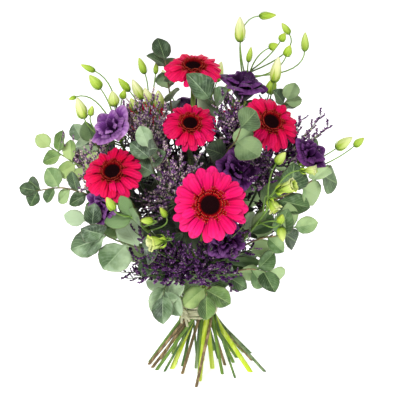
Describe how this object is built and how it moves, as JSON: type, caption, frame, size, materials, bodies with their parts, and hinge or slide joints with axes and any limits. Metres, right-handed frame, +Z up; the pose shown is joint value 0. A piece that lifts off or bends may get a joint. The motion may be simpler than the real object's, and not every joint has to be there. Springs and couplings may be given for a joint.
{
  "type": "hand-tied bouquet of gerberas",
  "caption": "Hand-tied spiral bouquet that stands on its cut stems: hot pink gerberas, violet lisianthus with buds, eucalyptus and statice, bound with raffia.",
  "frame": {"origin": "on the table, under the middle of the bouquet's outline", "axes": "+Z up from the table along the bundle of stems, +X to the right as seen from the front, the front of the bouquet towards -Y"},
  "size_m": [0.4008, 0.2962, 0.4405],
  "materials": {
    "gerbera_stem": "matte, finely ribbed fresh green stem",
    "gerbera_petal": "velvety satin",
    "gerbera_eye": "matte, finely knobbed",
    "lisianthus_green": "waxy matte",
    "lisianthus_petal": "silky satin",
    "eucalyptus_leaf": "waxy bloom, matte",
    "statice": "papery matte",
    "raffia": "fibrous matte"
  },
  "bodies": {
    "root": {"eucalyptus_back_left": "eucalyptus_leaf", "eucalyptus_back_right": "eucalyptus_leaf", "eucalyptus_centre": "eucalyptus_leaf", "eucalyptus_collar_front": "eucalyptus_leaf", "eucalyptus_collar_left": "eucalyptus_leaf", "eucalyptus_far_left": "eucalyptus_leaf", "eucalyptus_left": "eucalyptus_leaf", "eucalyptus_low_left": "eucalyptus_leaf", "eucalyptus_low_right": "eucalyptus_leaf", "eucalyptus_middle": "eucalyptus_leaf", "eucalyptus_right": "eucalyptus_leaf", "eucalyptus_right_low": "eucalyptus_leaf", "eucalyptus_top_left": "eucalyptus_leaf", "eucalyptus_upper_left": "eucalyptus_leaf", "eucalyptus_upper_middle": "eucalyptus_leaf", "eucalyptus_upper_right": "eucalyptus_leaf", "gerbera_back_left_eye": "gerbera_eye", "gerbera_back_left_petals": "gerbera_petal", "gerbera_back_left_stem": "gerbera_stem", "gerbera_back_right_eye": "gerbera_eye", "gerbera_back_right_petals": "gerbera_petal", "gerbera_back_right_stem": "gerbera_stem", "gerbera_front_eye": "gerbera_eye", "gerbera_front_petals": "gerbera_petal", "gerbera_front_stem": "gerbera_stem", "gerbera_left_eye": "gerbera_eye", "gerbera_left_petals": "gerbera_petal", "gerbera_left_stem": "gerbera_stem", "gerbera_middle_eye": "gerbera_eye", "gerbera_middle_petals": "gerbera_petal", "gerbera_middle_stem": "gerbera_stem", "gerbera_right_eye": "gerbera_eye", "gerbera_right_petals": "gerbera_petal", "gerbera_right_stem": "gerbera_stem", "gerbera_top_eye": "gerbera_eye", "gerbera_top_petals": "gerbera_petal", "gerbera_top_stem": "gerbera_stem", "lisianthus_back_bloom": "lisianthus_petal", "lisianthus_back_stem": "lisianthus_green", "lisianthus_left_bloom": "lisianthus_petal", "lisianthus_left_stem": "lisianthus_green", "lisianthus_low_left_bloom": "lisianthus_petal", "lisianthus_low_left_stem": "lisianthus_green", "lisianthus_low_right_bloom": "lisianthus_petal", "lisianthus_low_right_stem": "lisianthus_green", "lisianthus_middle_bloom": "lisianthus_petal", "lisianthus_middle_stem": "lisianthus_green", "lisianthus_right_bloom": "lisianthus_petal", "lisianthus_right_stem": "lisianthus_green", "lisianthus_top_bloom": "lisianthus_petal", "lisianthus_top_stem": "lisianthus_green", "lisianthus_upper_left_stem": "lisianthus_green", "raffia_tie": "raffia", "statice_back": "statice", "statice_left": "statice", "statice_low": "statice", "statice_middle": "statice", "statice_right": "statice", "statice_upper_left": "statice", "statice_upper_right": "statice"}
  },
  "joints": []
}
